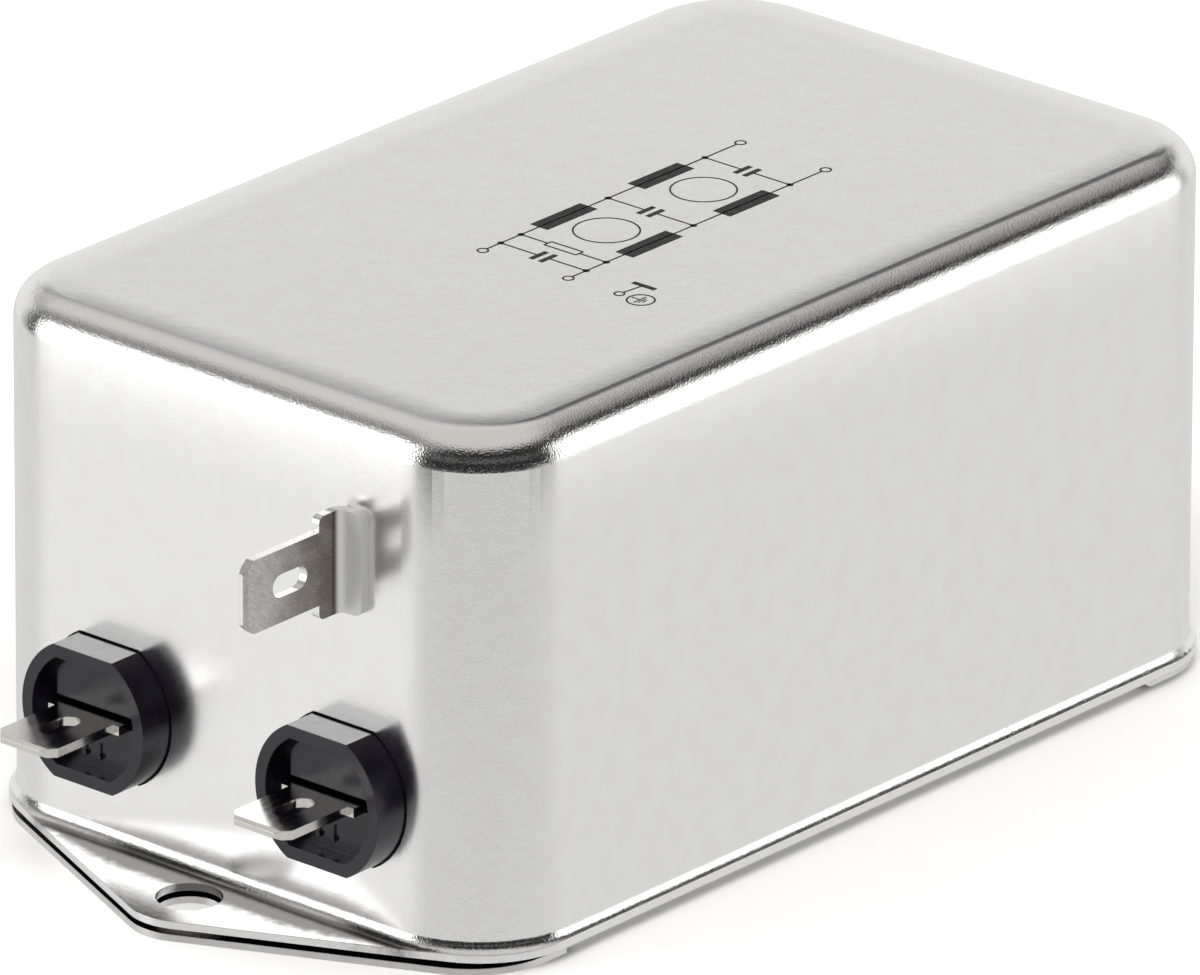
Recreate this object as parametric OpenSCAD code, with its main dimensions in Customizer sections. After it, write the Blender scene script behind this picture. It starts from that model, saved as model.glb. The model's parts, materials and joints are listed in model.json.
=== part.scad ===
// Two-stage chassis filter in a drawn steel can.
// +Y runs from the line end to the load end, +Z is up and Z = 0 is the underside of the base plate.
// The origin lies midway between the two mounting holes.

/* [Can] */
// Width over the long side walls
can_width = 56.6; // [50:0.1:64]
// Length over the end walls
can_length = 94; // [91:0.1:110]
// Height of the whole filter, from the mounting face to the top of the can
filter_height = 46.3; // [42:0.1:52]
// Sheet thickness of the can
can_sheet = 0.65; // [0.5:0.05:0.9]
// Plan radius of the four drawn corners
corner_radius = 9.5; // [7:0.1:12]
// Radius between the top and the side walls
crown_radius = 3; // [2:0.1:5]
// Inside radius of the bend between the walls and the flange
flare_radius = 1; // [0.6:0.1:1.6]
// How far the trimmed flange stands out past the long walls
flange_overhang = 0.45; // [0.2:0.05:0.55]

/* [Mounting ears] */
// Distance between the two mounting holes
hole_pitch = 103; // [101:0.1:112]
// Diameter of the mounting holes
hole_diameter = 5.5; // [4:0.1:6]
// Radius of the ear round its hole
ear_radius = 5.2; // [4.5:0.1:6.5]

/* [Base plate] */
// Sheet thickness of the base plate
base_sheet = 0.6; // [0.5:0.05:0.8]
// Air gap between the base plate and the can's ears
ear_gap = 0.5; // [0.3:0.05:0.8]
// Height of the turned-up long edges, which carry the circuit board
edge_height = 4; // [3.2:0.1:4.1]
// Inside radius of the turned-up edges
edge_bend_radius = 1.2; // [0.8:0.1:2]
// Length of the turned-up edges
edge_length = 72; // [40:1:74]
// Width of the relief notch at each end of a turned-up edge
edge_relief = 0.8; // [0.5:0.1:1.5]
// How much smaller the plate's corner radius is than the can's, which lets the ears lie flush
corner_relief = 1.5; // [0.5:0.1:2.5]

/* [Terminal insulators] */
// Distance between the two insulators of one end
terminal_pitch = 25.36; // [22:0.1:27]
// Height of the insulators' centres above the mounting face
terminal_height = 13.3; // [13.1:0.1:15]
// Diameter of the round sides of the barrel
barrel_diameter = 13.24; // [12:0.1:14]
// Distance between the flats at the top and bottom of the barrel
barrel_flats = 11.6; // [11:0.1:12]
// How far the barrel stands out from the wall
barrel_reach = 3.25; // [3:0.05:5]
// Thickness of the rim round the recess
rim_wall = 1.1; // [0.8:0.1:1.5]
// Depth of the recess to the boss above the tab
upper_recess = 1.4; // [0.8:0.1:2]
// Depth of the recess below the tab
lower_recess = 1.7; // [1:0.1:2.4]
// Depth of the moat at the sides of the boss
moat_depth = 3.1; // [2.2:0.1:3.2]
// Radius of the boss above the tab
boss_radius = 5; // [4.4:0.05:5.2]
// Width of the boss, and of the slot for the tab
boss_width = 8.1; // [7.8:0.1:8.6]
// Width of the collar inside the can, past the barrel on each side
collar_lip = 1.5; // [1:0.1:2]
// Thickness of the collar inside the can
collar_thickness = 1.4; // [1:0.1:2]
// Length of the tab guide behind the collar
guide_length = 2; // [1:0.1:3]
// Diameter of the two moulded pips below the tab
pip_diameter = 0.5; // [0.3:0.05:0.8]

/* [Blade tabs] */
// Width of a blade
blade_width = 6.3; // [4.8:0.1:6.3]
// Thickness of a blade
blade_thickness = 0.8; // [0.5:0.1:1]
// Reach of the two line tabs from the wall
line_tab_reach = 10.75; // [9.5:0.05:13]
// Reach of the two load tabs from the wall
load_tab_reach = 10; // [9.5:0.05:13]
// Length of the slot in a blade
blade_slot_length = 4.1; // [3:0.1:4.5]
// Width of the slot in a blade
blade_slot_width = 2; // [1.2:0.1:2.2]
// Distance from the tip of a power tab to the middle of its slot
blade_slot_setback = 4.75; // [3.6:0.05:5]
// Width of the wide root of a power tab
root_width = 7.7; // [7:0.1:7.8]
// Distance from the insulator's rim back to the shoulders of the root
shoulder_setback = 0.1; // [0:0.05:1]
// Width of the soldered tail
tail_width = 4; // [3:0.1:5]
// Inside radius of the bend between blade and tail
tail_bend_radius = 0.8; // [0.5:0.1:1.2]

/* [Earth tab] */
// Sideways place of the earth blade
earth_tab_x = 12.75; // [8:0.05:14]
// Height of the earth blade's middle above the mounting face
earth_tab_height = 33.6; // [31:0.1:35]
// Reach of the earth blade from the wall
earth_tab_reach = 12.3; // [11:0.1:14]
// Distance from the tip of the earth blade to the middle of its slot
earth_slot_setback = 5.4; // [4.5:0.05:6]
// Height of the root of the earth tab
earth_root_height = 8.9; // [8:0.1:10]
// Reach of the root of the earth tab from the wall
earth_root_reach = 3.4; // [2.5:0.1:4]
// Width of the foot that lies on the wall, past the blade
earth_foot_width = 2.2; // [2:0.05:4]
// Inside radius of the bend between the earth blade and its foot
earth_bend_radius = 0.6; // [0.3:0.05:0.9]

/* [Circuit board] */
// Thickness of the board
board_thickness = 1.6; // [1:0.1:2]
// Gap between the board and the can
board_clearance = 0.25; // [0.15:0.05:0.3]
// Thickness of the copper areas
copper_thickness = 0.1; // [0.07:0.01:0.2]
// Height of the solder joints
solder_height = 0.9; // [0.5:0.1:1.2]
// Thickness of the insulating sheet under the board
sheet_thickness = 0.3; // [0.2:0.05:0.5]
// Wall of the insulating liner
liner_wall = 0.4; // [0.3:0.05:0.6]

/* [Chokes] */
// Clear height between a core and the liner
core_headroom = 3.2; // [1:0.1:6]
// Radial width of a core
core_width = 7.5; // [6:0.1:8]
// Length of a core along its axis
core_length = 14; // [10:0.1:15]
// Edge radius of a coated core
core_edge_radius = 1; // [0.6:0.1:1.5]
// Diameter of the winding wire
wire_diameter = 1.1; // [0.8:0.05:1.2]
// Turns of each winding
turns = 16; // [8:1:17]
// Diameter of a stripped wire end
wire_end_diameter = 1; // [0.6:0.05:1.05]
// Thickness of the choke carrier's floor
carrier_floor = 2; // [1.5:0.1:3]
// How far the choke carrier's floor reaches past the core on each side
carrier_margin = 0.6; // [0:0.1:0.8]
// Thickness of the divider between the two windings
divider_thickness = 1.2; // [0.8:0.1:2]

/* [Capacitors and resistor] */
// Width of a capacitor
capacitor_width = 26.5; // [24:0.5:28]
// Thickness of a capacitor
capacitor_thickness = 8.5; // [6:0.1:9]
// Height of a capacitor
capacitor_height = 17.5; // [12:0.5:22]
// Distance between a capacitor's leads
capacitor_pitch = 22.5; // [20:0.5:22.5]
// Diameter of the capacitor leads
capacitor_lead = 0.8; // [0.6:0.05:1]
// Diameter of the resistor body
resistor_diameter = 2.5; // [1.8:0.1:2.8]
// Length of the resistor body
resistor_length = 6.5; // [5:0.1:8]
// Distance between the resistor's leads
resistor_pitch = 12.5; // [11:0.5:15]

/* [Clearances] */
// Gap between pieces that slide together
fit_clearance = 0.05; // [0.02:0.01:0.1]
// Gap between the barrel and its hole, and round the tab in its slot
hole_clearance = 0.15; // [0.1:0.05:0.3]
// Gap between the liner and the can
liner_clearance = 0.1; // [0.05:0.05:0.2]
// Gap between a lead and its hole in the board
lead_clearance = 0.2; // [0.1:0.05:0.3]
// Air between neighbouring pieces on the board
part_gap = 0.8; // [0.5:0.1:1.2]

/* [Hidden] */
$fn = 64;
cut = 1; // how far a cutting shape runs past what it cuts

// Heights of the stack, from the mounting face up
can_bottom = base_sheet + ear_gap;
flare_top = can_bottom + can_sheet + flare_radius;
board_bottom = edge_height;
board_top = board_bottom + board_thickness;
copper_bottom = board_bottom - copper_thickness;
solder_bottom = copper_bottom - solder_height;
lead_stub = 0.4;
lead_bottom = solder_bottom - lead_stub;

// Inside of the can and of the liner
inner_width = can_width - 2 * can_sheet;
inner_length = can_length - 2 * can_sheet;
inner_top = filter_height - can_sheet;
inner_corner = corner_radius - can_sheet;
flange_end = can_length / 2 + flange_overhang;
liner_top = inner_top - liner_clearance;
liner_inner_top = liner_top - liner_wall;

// Board outline
board_width = inner_width - 2 * board_clearance;
board_length = inner_length - 2 * board_clearance;
board_corner = inner_corner - board_clearance;

// Turned-up edges of the base plate
edge_outside = inner_width / 2 - fit_clearance;
edge_bend_outer = edge_bend_radius + base_sheet;
edge_flat_end = edge_outside - edge_bend_outer;
plate_corner = corner_radius - corner_relief;

// Insulators
end_wall = can_length / 2;
terminal_x = terminal_pitch / 2;
collar_diameter = barrel_diameter + 2 * collar_lip;
collar_flats = barrel_flats + 2 * collar_lip;
collar_back = can_sheet + collar_thickness;
guide_back = collar_back + guide_length;
guide_wall = 1.2;
slot_headroom = 0.35;
slot_depth = 1.5;
pip_places = [-1.15, 0.43];
pip_drop = 3.65;
pip_height = 0.3;
pip_rib_width = 0.18;
pip_rib_length = 1.2;
pip_rib_height = 0.15;

// Tabs
widest_blade = max(root_width, earth_root_height) + 2 * cut;
tip_chamfer_side = 1;
tip_chamfer_length = 1.1;
tip_bevel_length = 0.45;
tip_bevel_depth = 0.18;
root_round = 0.6;
tail_run = guide_back + 0.3;
tail_centre_radius = tail_bend_radius + blade_thickness / 2;
tail_back = tail_run + tail_centre_radius;
earth_foot_round = 0.9;

// Places along the board
tail_y = end_wall - tail_back;
capacitor_y = tail_y - blade_thickness / 2 - part_gap - capacitor_thickness / 2;
choke_y = capacitor_y / 2;

// Chokes
carrier_top = board_top + carrier_floor;
core_lift = 0.4;
core_bottom = carrier_top + core_lift;
core_outer_radius = (liner_inner_top - core_headroom - core_bottom) / 2;
core_inner_radius = core_outer_radius - core_width;
core_z = core_bottom + core_outer_radius;
turn_inner = core_inner_radius - fit_clearance - wire_diameter / 2;
turn_outer = core_outer_radius + fit_clearance + wire_diameter / 2;
turn_side = core_length / 2 + fit_clearance + wire_diameter / 2;
turn_gap = 0.06;
turn_angle = 360 * (wire_diameter + turn_gap) / (2 * PI * turn_inner);
lead_inset = 0.2;
winding_reach = turn_angle * (turns - 1) / 2;
low_lead_x = turn_outer * cos(winding_reach);
lead_sweep = 1.05;
high_lead_x = turn_outer + wire_diameter / 2 + lead_sweep;
carrier_width = 2 * (core_outer_radius + carrier_margin);
carrier_length = 2 * (turn_side + wire_diameter / 2 + part_gap);
carrier_corner = 2;
saddle_width = 15;
saddle_thickness = 3;
saddle_height = 3.5;
saddle_spacing = core_length - saddle_thickness;
divider_overhang = 2;
wire_inner_bend = 0.3;
wire_end_bend = 1;

// Copper and solder
copper_inside = 4;
copper_outside = 22;
copper_margin = 2;
copper_round = 1.5;
solder_tip = 0.7;
solder_spread = 1.8;
solder_round = 0.8;

// Capacitor case
capacitor_corner = 1;
capacitor_wall = 0.8;
potting_corner = 0.7;
potting_recess = 0.4;

// Resistor
resistor_cap_length = 1.3;
resistor_cap_extra = 0.3;
resistor_lead = 0.6;
resistor_bend = 1;
resistor_y = -(choke_y + carrier_length / 2 + capacitor_y - capacitor_thickness / 2) / 2;
resistor_stand = 0.3;
resistor_z = board_top + resistor_stand + (resistor_diameter + resistor_cap_extra) / 2;

// Every lead on the +X side of the board: [x, y, diameter]
round_leads = [
    [capacitor_pitch / 2, -capacitor_y, capacitor_lead],
    [capacitor_pitch / 2, 0, capacitor_lead],
    [capacitor_pitch / 2, capacitor_y, capacitor_lead],
    [resistor_pitch / 2, resistor_y, resistor_lead],
    [low_lead_x, -choke_y - turn_side + lead_inset, wire_end_diameter],
    [high_lead_x, -choke_y + turn_side - lead_inset, wire_end_diameter],
    [high_lead_x, choke_y - turn_side + lead_inset, wire_end_diameter],
    [low_lead_x, choke_y + turn_side - lead_inset, wire_end_diameter]
];

/* ---- shared shapes ---- */

// Rounded rectangle of arcs and straight lines, centred
module rounded_rect(w, l, r) {
    square([w - 2 * r, l], center = true);
    square([w, l - 2 * r], center = true);
    for (x = [-1, 1], y = [-1, 1])
        translate([x * (w / 2 - r), y * (l / 2 - r)])
            circle(r);
}

// Quarter of a ring in the first quadrant
module quarter_ring(outer, wall)
    intersection() {
        difference() {
            circle(outer);
            circle(outer - wall);
        }
        square(outer + cut);
    }

// Sweeps a section round a rounded rectangle; the section's X is measured from the corner centres
module sweep_round(w, l, r)
    for (turn = [0, 180]) rotate(turn) {
        translate([w / 2 - r, l / 2 - r])
            rotate_extrude(angle = 90) children();
        rotate(90) translate([l / 2 - r, w / 2 - r])
            rotate_extrude(angle = 90) children();
        translate([w / 2 - r, l / 2 - r])
            rotate([90, 0, 0]) linear_extrude(l - 2 * r) children();
        rotate(90) translate([l / 2 - r, w / 2 - r])
            rotate([90, 0, 0]) linear_extrude(w - 2 * r) children();
    }

// Section of a wall with its rounded crown
module crown_section(r, top, crown, wall, bottom) {
    translate([r - crown, top - crown]) quarter_ring(crown, wall);
    translate([r - wall, bottom]) square([wall, top - crown - bottom]);
}

// Drawn box, open below
module drawn_box(w, l, r, top, crown, wall, bottom) {
    sweep_round(w, l, r) crown_section(r, top, crown, wall, bottom);
    translate([0, 0, top - wall])
        linear_extrude(wall) rounded_rect(w - 2 * crown, l - 2 * crown, r - crown);
}

// Flange outline: a rounded rectangle that runs by straight tangents into an ear at each end
module ear_outline(half_width, half_length, corner) {
    turn_centre = [half_width - corner, half_length - corner];
    run = [-turn_centre.x, hole_pitch / 2 - turn_centre.y];
    lean = atan2(run.y, run.x) - acos((corner - ear_radius) / norm(run));
    side = [cos(lean), sin(lean)];
    near = turn_centre + corner * side;
    far = [0, hole_pitch / 2] + ear_radius * side;
    rounded_rect(2 * half_width, 2 * half_length, corner);
    for (end = [0, 180]) rotate(end) {
        polygon([near, far, [-far.x, far.y], [-near.x, near.y]]);
        translate([0, hole_pitch / 2]) circle(ear_radius);
    }
}

// Round shape with flats at the top and bottom
module flatted_circle(d, flats)
    intersection() {
        circle(d / 2);
        square([d + cut, flats], center = true);
    }

// Puts its children on an insulator's axis: X across, Y up, Z out from the wall
module at_terminal(end, side)
    rotate(end == "line" ? 0 : 180)
        translate([(end == "line" ? side : -side) * terminal_x, -end_wall, terminal_height])
            rotate([90, 0, 0]) children();

// The same for all four insulators
module at_terminals()
    for (end = ["line", "load"], side = [-1, 1])
        at_terminal(end, side) children();

/* ---- can and base ---- */

module can_body() {
    drawn_box(can_width, can_length, corner_radius, filter_height, crown_radius, can_sheet, flare_top);
    sweep_round(can_width, can_length, corner_radius)
        translate([corner_radius + flare_radius, flare_top])
            rotate(180) quarter_ring(flare_radius + can_sheet, can_sheet);
    translate([0, 0, can_bottom])
        linear_extrude(can_sheet)
            difference() {
                ear_outline(can_width / 2 + flare_radius, can_length / 2 + flare_radius,
                    corner_radius + flare_radius);
                rounded_rect(can_width + 2 * flare_radius, can_length + 2 * flare_radius,
                    corner_radius + flare_radius);
            }
}

module can() {
    color([0.80, 0.80, 0.79])
    difference() {
        intersection() {
            can_body();
            linear_extrude(filter_height + cut)
                ear_outline(can_width / 2 + flange_overhang, flange_end, corner_radius);
        }
        mounting_holes();
        at_terminals()
            translate([0, 0, -can_sheet - cut])
                linear_extrude(can_sheet + 2 * cut)
                    flatted_circle(barrel_diameter + 2 * hole_clearance,
                        barrel_flats + 2 * hole_clearance);
    }
}

module mounting_holes()
    for (end = [-1, 1])
        translate([0, end * hole_pitch / 2, -cut])
            cylinder(d = hole_diameter, h = can_bottom + can_sheet + 2 * cut);

// Section of a turned-up edge: bend and upright, with X from the middle of the filter
module edge_section() {
    translate([edge_flat_end, edge_bend_outer])
        rotate(-90) quarter_ring(edge_bend_outer, base_sheet);
    translate([edge_outside - base_sheet, edge_bend_outer])
        square([base_sheet, edge_height - edge_bend_outer]);
}

module base_plate() {
    color([0.74, 0.74, 0.74]) {
        difference() {
            linear_extrude(base_sheet)
                difference() {
                    ear_outline(edge_outside, flange_end, plate_corner);
                    for (side = [-1, 1])
                        translate([side * (edge_flat_end + edge_bend_outer), 0])
                            square([2 * edge_bend_outer, edge_length + 2 * edge_relief], center = true);
                }
            mounting_holes();
        }
        for (turn = [0, 180]) rotate(turn)
            translate([0, edge_length / 2, 0])
                rotate([90, 0, 0]) linear_extrude(edge_length) edge_section();
    }
}

module insulating_sheet() {
    color([0.93, 0.91, 0.84])
    translate([0, 0, base_sheet])
        linear_extrude(sheet_thickness)
            rounded_rect(2 * (edge_flat_end - part_gap), board_length - 2 * part_gap,
                board_corner - part_gap);
}

module liner() {
    color([0.90, 0.88, 0.80])
    difference() {
        drawn_box(inner_width - 2 * liner_clearance, inner_length - 2 * liner_clearance,
            inner_corner - liner_clearance, liner_top,
            crown_radius - can_sheet - liner_clearance, liner_wall, board_top);
        at_terminals()
            translate([0, 0, -collar_back])
                linear_extrude(collar_back) {
                    flatted_circle(collar_diameter + 2 * hole_clearance, collar_flats + 2 * hole_clearance);
                    translate([-collar_diameter / 2 - hole_clearance, -terminal_height])
                        square([collar_diameter + 2 * hole_clearance, terminal_height]);
                }
    }
}

/* ---- terminals ---- */

module insulator(end, side) {
    slot_top = blade_thickness / 2 + slot_headroom;
    slot_bottom = -blade_thickness / 2 - fit_clearance;
    guide_width = root_width + 2 * fit_clearance;
    guide_outside = [guide_width + 2 * guide_wall, blade_thickness + 2 * guide_wall];
    color([0.15, 0.14, 0.17])
    at_terminal(end, side) {
        difference() {
            union() {
                translate([0, 0, -can_sheet])
                    linear_extrude(can_sheet + barrel_reach)
                        flatted_circle(barrel_diameter, barrel_flats);
                translate([0, 0, -collar_back])
                    linear_extrude(collar_thickness) flatted_circle(collar_diameter, collar_flats);
                translate([0, 0, -guide_back])
                    linear_extrude(guide_length) square(guide_outside, center = true);
            }
            recess(slot_top, slot_bottom);
            translate([-boss_width / 2, slot_bottom, -slot_depth])
                cube([boss_width, slot_top - slot_bottom, slot_depth + barrel_reach + cut]);
            translate([-guide_width / 2, slot_bottom, -guide_back - cut])
                cube([guide_width, -2 * slot_bottom, guide_back + cut]);
        }
        pips();
    }
}

// Hollow of an insulator: a floor below the tab, a boss above it and a moat beside the boss
module recess(slot_top, slot_bottom) {
    d = barrel_diameter - 2 * rim_wall;
    flats = barrel_flats - 2 * rim_wall;
    translate([0, 0, barrel_reach - upper_recess])
        linear_extrude(upper_recess + cut) flatted_circle(d, flats);
    translate([0, 0, barrel_reach - lower_recess])
        linear_extrude(lower_recess + cut)
            intersection() {
                flatted_circle(d, flats);
                translate([-d, slot_bottom - 2 * d]) square(2 * d);
            }
    translate([0, 0, barrel_reach - moat_depth])
        linear_extrude(moat_depth + cut)
            difference() {
                intersection() {
                    flatted_circle(d, flats);
                    translate([-d, slot_bottom]) square(2 * d);
                }
                intersection() {
                    circle(boss_radius);
                    square([boss_width, 2 * d], center = true);
                }
            }
}

// Two moulded pips with short ribs on the lower floor
module pips()
    for (x = pip_places)
        translate([x, -pip_drop, barrel_reach - lower_recess]) {
            cylinder(d = pip_diameter, h = pip_height);
            translate([-pip_rib_width / 2, 0, 0])
                cube([pip_rib_width, pip_rib_length, pip_rib_height]);
        }

// Plan of a blade along +Y with its tip at the given reach
module blade_plan(start, reach, setback)
    difference() {
        polygon([
            [-blade_width / 2, start],
            [-blade_width / 2, reach - tip_chamfer_length],
            [-blade_width / 2 + tip_chamfer_side, reach],
            [blade_width / 2 - tip_chamfer_side, reach],
            [blade_width / 2, reach - tip_chamfer_length],
            [blade_width / 2, start]
        ]);
        translate([0, reach - setback]) {
            square([blade_slot_width, blade_slot_length - blade_slot_width], center = true);
            for (end = [-1, 1])
                translate([0, end * (blade_slot_length - blade_slot_width) / 2])
                    circle(blade_slot_width / 2);
        }
    }

// A plan made into a sheet with a coined tip: X across, Y out from the wall, Z through the sheet
module flat_blade(start, reach)
    intersection() {
        translate([0, 0, -blade_thickness / 2])
            linear_extrude(blade_thickness) children();
        rotate([90, 0, 90])
            translate([0, 0, -widest_blade / 2])
                linear_extrude(widest_blade)
                    polygon([
                        [start, -blade_thickness / 2],
                        [start, blade_thickness / 2],
                        [reach - tip_bevel_length, blade_thickness / 2],
                        [reach, blade_thickness / 2 - tip_bevel_depth],
                        [reach, -blade_thickness / 2 + tip_bevel_depth],
                        [reach - tip_bevel_length, -blade_thickness / 2]
                    ]);
    }

module power_tab(end, side) {
    reach = end == "line" ? line_tab_reach : load_tab_reach;
    tail_length = terminal_height - tail_centre_radius - lead_bottom;
    color([0.74, 0.72, 0.68])
    at_terminal(end, side) {
        rotate([90, 0, 0])
            flat_blade(-tail_run, reach) {
                union() {
                    blade_plan(0, reach, blade_slot_setback);
                    translate([-root_width / 2, -guide_back])
                        square([root_width, guide_back + barrel_reach - shoulder_setback]);
                    translate([-tail_width / 2, -tail_run])
                        square([tail_width, tail_run]);
                }
            }
        translate([-tail_width / 2, -tail_centre_radius, -tail_run])
            rotate([90, 0, 90]) linear_extrude(tail_width)
                rotate(-90) quarter_ring(tail_centre_radius + blade_thickness / 2, blade_thickness);
        translate([-tail_width / 2, -tail_centre_radius - tail_length, -tail_back - blade_thickness / 2])
            cube([tail_width, tail_length, blade_thickness]);
    }
}

// Side view of the earth blade: X is height from its middle, Y runs out from the wall
module earth_plan(start) {
    blade_plan(start, earth_tab_reach, earth_slot_setback);
    translate([-earth_root_height / 2, start])
        square([earth_root_height, earth_root_reach - start - root_round]);
    translate([-earth_root_height / 2 + root_round, start])
        square([earth_root_height - 2 * root_round, earth_root_reach - start]);
    for (side = [-1, 1])
        translate([side * (earth_root_height / 2 - root_round), earth_root_reach - root_round])
            circle(root_round);
}

module earth_tab() {
    bend_outer = earth_bend_radius + blade_thickness;
    foot_start = blade_thickness / 2 + earth_bend_radius;
    foot_run = earth_foot_width - earth_bend_radius;
    color([0.64, 0.61, 0.58])
    translate([earth_tab_x, -end_wall, earth_tab_height])
        rotate([90, 0, 0]) {
            rotate([90, 0, 90])
                flat_blade(bend_outer, earth_tab_reach) earth_plan(bend_outer);
            translate([foot_start, 0, bend_outer])
                rotate([90, 0, 0]) linear_extrude(earth_root_height, center = true)
                    rotate(180) quarter_ring(bend_outer, blade_thickness);
            translate([foot_start, 0, 0])
                linear_extrude(blade_thickness) {
                    translate([0, -earth_root_height / 2])
                        square([foot_run - earth_foot_round, earth_root_height]);
                    translate([0, -earth_root_height / 2 + earth_foot_round])
                        square([foot_run, earth_root_height - 2 * earth_foot_round]);
                    for (side = [-1, 1])
                        translate([foot_run - earth_foot_round,
                            side * (earth_root_height / 2 - earth_foot_round)])
                            circle(earth_foot_round);
                }
        }
}

/* ---- circuit board ---- */

// Puts its children at every round lead; the child module gets the lead's diameter in $lead
module at_round_leads()
    for (side = [-1, 1], lead = round_leads)
        translate([side * lead.x, lead.y, 0]) {
            $lead = lead.z;
            children();
        }

// Puts its children at the tail of every power tab
module at_tails()
    for (side = [-1, 1], end = [-1, 1])
        translate([side * terminal_x, end * tail_y, 0]) children();

// Every lead and tail as an upright column, grown by a clearance on each side
module lead_columns(bottom, top, clearance)
    translate([0, 0, bottom]) {
        at_round_leads() cylinder(d = $lead + 2 * clearance, h = top - bottom);
        at_tails()
            translate([-tail_width / 2 - clearance, -blade_thickness / 2 - clearance, 0])
                cube([tail_width + 2 * clearance, blade_thickness + 2 * clearance, top - bottom]);
    }

module circuit_board() {
    color([0.36, 0.47, 0.25])
    difference() {
        translate([0, 0, board_bottom])
            linear_extrude(board_thickness) rounded_rect(board_width, board_length, board_corner);
        lead_columns(board_bottom - cut, board_top + cut, lead_clearance);
    }
}

// Six copper areas: line, middle and load, on each side
module copper_areas() {
    middle_end = choke_y - turn_side + copper_margin;
    outer_start = choke_y + turn_side - copper_margin;
    outer_end = board_length / 2 - copper_margin;
    color([0.80, 0.50, 0.28])
    difference() {
        translate([0, 0, copper_bottom])
            linear_extrude(copper_thickness)
                for (side = [-1, 1])
                    translate([side * (copper_inside + copper_outside) / 2, 0]) {
                        rounded_rect(copper_outside - copper_inside, 2 * middle_end, copper_round);
                        for (end = [-1, 1])
                            translate([0, end * (outer_start + outer_end) / 2])
                                rounded_rect(copper_outside - copper_inside, outer_end - outer_start,
                                    copper_round);
                    }
        lead_columns(copper_bottom - cut, board_top, lead_clearance);
    }
}

module solder_joints() {
    color([0.78, 0.78, 0.80])
    difference() {
        translate([0, 0, solder_bottom]) {
            at_round_leads()
                cylinder(h = solder_height, d1 = $lead + solder_tip, d2 = $lead + solder_spread);
            at_tails()
                linear_extrude(solder_height)
                    rounded_rect(tail_width + solder_spread, blade_thickness + solder_spread, solder_round);
        }
        lead_columns(solder_bottom - cut, copper_bottom + cut, fit_clearance);
    }
}

/* ---- chokes ---- */

// Puts its children on a choke's axis: Y along the core, Z up from the core's centre
module at_choke(end)
    translate([0, end == "line" ? -choke_y : choke_y, core_z]) children();

module choke_core(end) {
    color([0.25, 0.38, 0.36])
    at_choke(end)
        rotate([90, 0, 0])
            rotate_extrude()
                translate([core_inner_radius + core_width / 2, 0])
                    rounded_rect(core_width, core_length, core_edge_radius);
}

// Moulded carrier: a floor on the board and two cheeks that cradle the core
module choke_carrier(end) {
    y = end == "line" ? -choke_y : choke_y;
    color([0.90, 0.89, 0.85])
    difference() {
        translate([0, y, board_top]) {
            linear_extrude(carrier_floor) rounded_rect(carrier_width, carrier_length, carrier_corner);
            for (side = [-1, 1])
                translate([-saddle_width / 2, side * saddle_spacing / 2 - saddle_thickness / 2, 0])
                    cube([saddle_width, saddle_thickness, carrier_floor + saddle_height]);
        }
        at_choke(end)
            rotate([90, 0, 0])
                cylinder(r = core_outer_radius + fit_clearance, h = carrier_length, center = true);
        for (side = [-1, 1], face = [-1, 1])
            translate([side * low_lead_x, y + face * (turn_side - lead_inset), board_top - cut])
                cylinder(d = wire_end_diameter + 2 * lead_clearance, h = carrier_floor + 2 * cut);
    }
}

// Insulating plate across the bore, between the two windings
module choke_divider(end) {
    color([0.92, 0.91, 0.86])
    at_choke(end)
        intersection() {
            rotate([90, 0, 0])
                cylinder(r = core_inner_radius - fit_clearance,
                    h = core_length + 2 * divider_overhang, center = true);
            cube([divider_thickness, core_length + 3 * divider_overhang, 2 * core_inner_radius + cut],
                center = true);
        }
}

// One turn's way round the outside of the core: X is radial, Y along the core.
// It starts and ends inside the wall that the turns form in the bore
module wire_turn() {
    outer_bend = wire_diameter + wire_inner_bend;
    reach = turn_outer + wire_diameter / 2;
    half = turn_side + wire_diameter / 2;
    translate([0, 0, -wire_diameter / 2])
        linear_extrude(wire_diameter)
            difference() {
                intersection() {
                    translate([reach - half, 0]) rounded_rect(2 * half, 2 * half, outer_bend);
                    translate([turn_inner, -half]) square([reach, 2 * half]);
                }
                translate([reach - wire_diameter - half, 0])
                    rounded_rect(2 * half, 2 * (half - wire_diameter), wire_inner_bend);
            }
}

// A winding on the +X side of a core, with its stripped ends down through the board.
// The low end leaves at the face towards the terminals, the high end at the other face
module winding_half(face) {
    end_y = turn_side - lead_inset;
    top_z = turn_outer * sin(winding_reach);
    drop = core_z - lead_bottom;
    rotate([90, 0, 0]) rotate(-winding_reach)
        rotate_extrude(angle = 2 * winding_reach)
            translate([turn_inner, 0])
                rounded_rect(wire_diameter, 2 * turn_side + wire_inner_bend, wire_inner_bend);
    for (i = [0 : turns - 1])
        rotate([0, winding_reach - i * turn_angle, 0]) wire_turn();
    translate([low_lead_x, face * end_y, -drop])
        cylinder(d = wire_end_diameter, h = drop - top_z);
    translate([high_lead_x, -face * end_y, -drop])
        cylinder(d = wire_end_diameter, h = drop + top_z - wire_end_bend);
    translate([high_lead_x - wire_end_bend, -face * end_y, top_z - wire_end_bend])
        rotate([90, 0, 0]) rotate_extrude(angle = 90)
            translate([wire_end_bend, 0]) circle(d = wire_end_diameter);
    translate([low_lead_x, -face * end_y, top_z])
        rotate([0, 90, 0]) cylinder(d = wire_end_diameter, h = high_lead_x - wire_end_bend - low_lead_x);
}

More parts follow.
